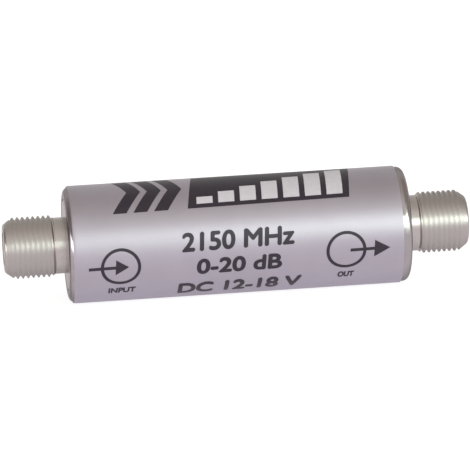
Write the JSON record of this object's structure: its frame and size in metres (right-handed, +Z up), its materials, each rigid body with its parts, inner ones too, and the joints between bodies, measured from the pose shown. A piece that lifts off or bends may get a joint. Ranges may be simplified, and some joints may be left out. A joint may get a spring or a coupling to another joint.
{
  "type": "in-line tv signal amplifier",
  "caption": "Round metal in-line amplifier for a TV aerial or satellite lead: a printed tube with rolled rims and a threaded F socket at each end, circuit board inside.",
  "frame": {"origin": "middle of the tube, on its axis", "axes": "+X along the tube from the input socket to the output socket, +Z up, -Y the printed side"},
  "size_m": [0.0714, 0.0181, 0.018],
  "materials": {
    "housing_metal": "polished",
    "label_print": "satin",
    "connector_metal": "satin",
    "socket_plastic": "satin",
    "contact_metal": "polished",
    "seal_rubber": "matte",
    "board_laminate": "satin",
    "track_copper": "satin",
    "capacitor_ceramic": "satin",
    "resistor_ceramic": "satin",
    "chip_moulding": "matte",
    "tantalum_moulding": "satin",
    "choke_wire": "gloss",
    "solder": "satin"
  },
  "bodies": {
    "root": {"bias_resistors": "resistor_ceramic", "bypass_capacitors": "capacitor_ceramic", "circuit_board": "board_laminate", "contact_solder": "solder", "coupling_capacitors": "capacitor_ceramic", "first_gain_stage": "chip_moulding", "ground_plane": "track_copper", "ground_solder": "solder", "housing_tube": "housing_metal", "input_choke": "choke_wire", "input_connector_body": "connector_metal", "input_contact": "contact_metal", "input_insulator": "socket_plastic", "input_rear_insulator": "socket_plastic", "input_seal_ring": "seal_rubber", "label_film": "label_print", "output_choke": "choke_wire", "output_connector_body": "connector_metal", "output_contact": "contact_metal", "output_insulator": "socket_plastic", "output_rear_insulator": "socket_plastic", "output_seal_ring": "seal_rubber", "second_gain_stage": "chip_moulding", "supply_capacitor": "tantalum_moulding", "supply_regulator": "chip_moulding", "surge_diode": "chip_moulding", "top_tracks": "track_copper"}
  },
  "joints": []
}
